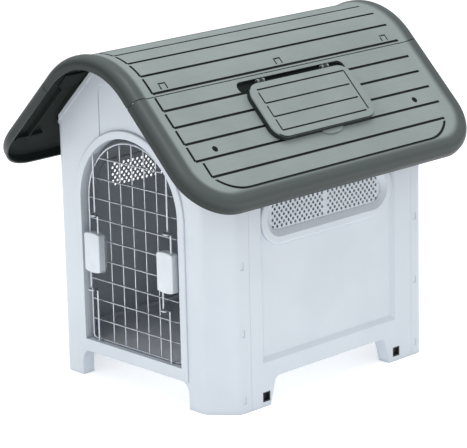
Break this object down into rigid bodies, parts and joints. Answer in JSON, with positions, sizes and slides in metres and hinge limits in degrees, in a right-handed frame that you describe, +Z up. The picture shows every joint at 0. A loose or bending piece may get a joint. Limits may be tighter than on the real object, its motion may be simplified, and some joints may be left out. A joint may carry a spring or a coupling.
{
  "type": "plastic pet kennel",
  "caption": "Small moulded kennel with a two-slope plank roof, a hinged roof hatch, side vents and an arched wire door with spring latches.",
  "frame": {"origin": "bottom centre of the object's box, at floor level", "axes": "+Z up, the door faces -Y, the ridge runs along Y, the roof hatch is on the +X slope"},
  "size_m": [0.6008, 0.75, 0.6564],
  "materials": {
    "wall_plastic": "satin moulded white",
    "roof_plastic": "fine-grained grey green",
    "door_wire": "zinc plated wire",
    "rod_wire": "zinc plated wire",
    "spring_wire": "spring steel",
    "grip_plastic": "semi gloss white",
    "plug_plastic": "black",
    "screw_steel": "black oxide",
    "floor_plastic": "light grey",
    "grille_plastic": "white"
  },
  "bodies": {
    "shell": {"floor_tray": "floor_plastic", "front_panel": "wall_plastic", "leg_plugs": "plug_plastic", "rear_panel": "wall_plastic", "roof_ridge_panel": "roof_plastic", "roof_screws": "screw_steel", "roof_slope_left": "roof_plastic", "roof_slope_right": "roof_plastic", "side_panel_left": "wall_plastic", "side_panel_right": "wall_plastic", "vent_grille_left": "grille_plastic", "vent_grille_right": "grille_plastic"},
    "door": {"door_column_1": "door_wire", "door_column_2": "door_wire", "door_column_3": "door_wire", "door_column_4": "door_wire", "door_column_5": "door_wire", "door_frame_wire": "door_wire", "door_row_1": "door_wire", "door_row_2": "door_wire", "door_row_3": "door_wire", "door_row_4": "door_wire", "door_row_5": "door_wire", "door_row_6": "door_wire", "door_row_7": "door_wire", "door_row_8": "door_wire", "door_row_9": "door_wire", "grip_back_left": "grip_plastic", "grip_back_right": "grip_plastic", "grip_cover_left": "grip_plastic", "grip_cover_right": "grip_plastic", "latch_spring_lower_left": "spring_wire", "latch_spring_lower_right": "spring_wire", "latch_spring_upper_left": "spring_wire", "latch_spring_upper_right": "spring_wire"},
    "hatch_lid": {"skylight_lid": "roof_plastic"},
    "rod_lower_left": {"latch_rod_lower_left": "rod_wire"},
    "rod_lower_right": {"latch_rod_lower_right": "rod_wire"},
    "rod_upper_left": {"latch_rod_upper_left": "rod_wire"},
    "rod_upper_right": {"latch_rod_upper_right": "rod_wire"}
  },
  "joints": [
    {"name": "door_hinge", "type": "hinge", "parent": "shell", "child": "door", "pos_m": [-0.101, -0.2785, 0.26], "axis": [0, 0, -1], "range_deg": [0, 110]},
    {"name": "lid_hinge", "type": "hinge", "parent": "shell", "child": "hatch_lid", "pos_m": [0.13789, 0.013, 0.58153], "axis": [0, -1, 0], "range_deg": [0, 100]},
    {"name": "rod_upper_left_slide", "type": "slide", "parent": "door", "child": "rod_upper_left", "axis": [0, 0, -1], "range_m": [0, 0.016], "stiffness_N_per_m": 150, "springref_m": -0.012, "deforming": ["latch_spring_upper_left"]},
    {"name": "rod_upper_right_slide", "type": "slide", "parent": "door", "child": "rod_upper_right", "axis": [0, 0, -1], "range_m": [0, 0.016], "stiffness_N_per_m": 150, "springref_m": -0.012, "deforming": ["latch_spring_upper_right"]},
    {"name": "rod_lower_left_slide", "type": "slide", "parent": "door", "child": "rod_lower_left", "axis": [0, 0, 1], "range_m": [0, 0.016], "stiffness_N_per_m": 150, "springref_m": -0.012, "deforming": ["latch_spring_lower_left"]},
    {"name": "rod_lower_right_slide", "type": "slide", "parent": "door", "child": "rod_lower_right", "axis": [0, 0, 1], "range_m": [0, 0.016], "stiffness_N_per_m": 150, "springref_m": -0.012, "deforming": ["latch_spring_lower_right"]}
  ]
}
